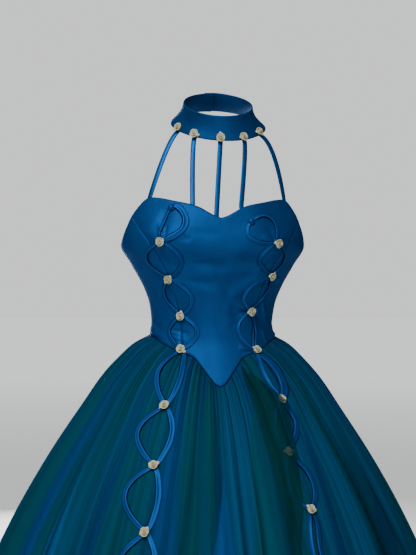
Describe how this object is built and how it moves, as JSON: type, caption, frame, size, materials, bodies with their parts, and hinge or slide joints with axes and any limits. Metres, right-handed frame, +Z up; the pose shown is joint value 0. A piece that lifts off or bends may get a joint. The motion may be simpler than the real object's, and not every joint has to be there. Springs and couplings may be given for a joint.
{
  "type": "halter ball gown",
  "caption": "Floor-length ball gown: satin collar with five straps, boned sweetheart bodice, gathered tulle over a satin underskirt, ribbon lattices tied with rosebuds",
  "frame": {"origin": "the middle of the collar, on the neck's axis, where the wearer's neck holds the gown up", "axes": "+Z up the standing wearer, -Y to the gown's front, +X to the wearer's left"},
  "size_m": [1.246, 1.1897, 1.4797],
  "materials": {
    "blue_satin": "deep blue satin with a soft sheen",
    "satin_ribbon": "blue satin ribbon",
    "teal_tulle": "sheer teal net in several layers",
    "cream_ribbon": "cream ribbon folded into rosebuds"
  },
  "bodies": {
    "root": {"bodice_centre_front": "blue_satin", "collar": "blue_satin", "collar_button": "blue_satin", "bodice_side_front_left": "blue_satin", "bodice_side_back_left": "blue_satin", "bodice_back_left": "blue_satin", "bodice_side_front_right": "blue_satin", "bodice_side_back_right": "blue_satin", "bodice_back_right": "blue_satin", "underskirt_gore_1": "blue_satin", "underskirt_gore_2": "blue_satin", "underskirt_gore_3": "blue_satin", "underskirt_gore_4": "blue_satin", "underskirt_gore_5": "blue_satin", "underskirt_gore_6": "blue_satin", "strap_outer_right": "satin_ribbon", "strap_inner_right": "satin_ribbon", "strap_centre": "satin_ribbon", "strap_inner_left": "satin_ribbon", "strap_outer_left": "satin_ribbon", "ribbon_left_1": "satin_ribbon", "ribbon_left_2": "satin_ribbon", "ribbon_right_1": "satin_ribbon", "ribbon_right_2": "satin_ribbon", "tulle_skirt_front": "teal_tulle", "tulle_skirt_back": "teal_tulle", "rose_collar_1": "cream_ribbon", "rose_collar_2": "cream_ribbon", "rose_collar_3": "cream_ribbon", "rose_collar_4": "cream_ribbon", "rose_collar_5": "cream_ribbon", "rose_left_1": "cream_ribbon", "rose_left_2": "cream_ribbon", "rose_left_3": "cream_ribbon", "rose_left_4": "cream_ribbon", "rose_left_5": "cream_ribbon", "rose_left_6": "cream_ribbon", "rose_left_7": "cream_ribbon", "rose_left_8": "cream_ribbon", "rose_left_9": "cream_ribbon", "rose_left_10": "cream_ribbon", "rose_left_11": "cream_ribbon", "rose_left_12": "cream_ribbon", "rose_right_1": "cream_ribbon", "rose_right_2": "cream_ribbon", "rose_right_3": "cream_ribbon", "rose_right_4": "cream_ribbon", "rose_right_5": "cream_ribbon", "rose_right_6": "cream_ribbon", "rose_right_7": "cream_ribbon", "rose_right_8": "cream_ribbon", "rose_right_9": "cream_ribbon", "rose_right_10": "cream_ribbon", "rose_right_11": "cream_ribbon", "rose_right_12": "cream_ribbon"}
  },
  "joints": []
}
